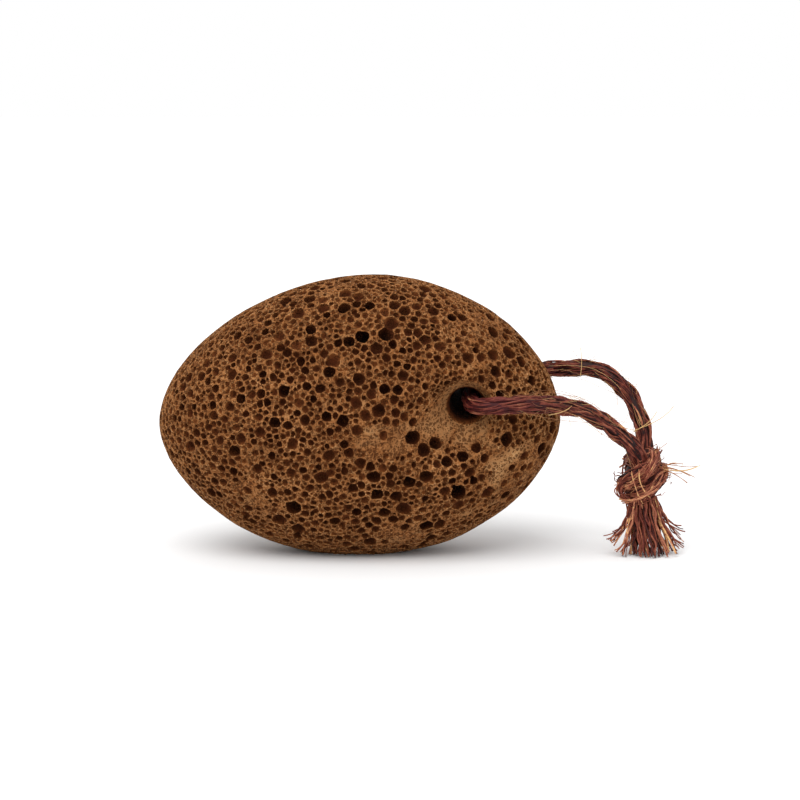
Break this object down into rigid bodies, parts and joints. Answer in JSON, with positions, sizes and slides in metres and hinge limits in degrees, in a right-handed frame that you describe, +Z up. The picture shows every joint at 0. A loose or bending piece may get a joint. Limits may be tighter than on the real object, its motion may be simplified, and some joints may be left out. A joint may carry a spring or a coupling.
{
  "type": "pumice stone on a cord",
  "caption": "Oval pumice stone for rubbing feet in the bath, drilled near one end, with a knotted loop of coir cord and a frayed tassel.",
  "frame": {"origin": "on the surface that the stone stands on, under the middle of the stone", "axes": "+X along the stone towards the cord's end, +Y through its thickness and the drilled hole, +Z up"},
  "size_m": [0.1302, 0.048, 0.0694],
  "materials": {
    "pumice": "tumbled brown pumice, full of open pores",
    "coir_cord": "dyed coir yarn, twisted and hairy"
  },
  "bodies": {
    "root": {"stone": "pumice", "cord_loop": "coir_cord", "cord_knot": "coir_cord", "cord_tassel": "coir_cord"}
  },
  "joints": []
}
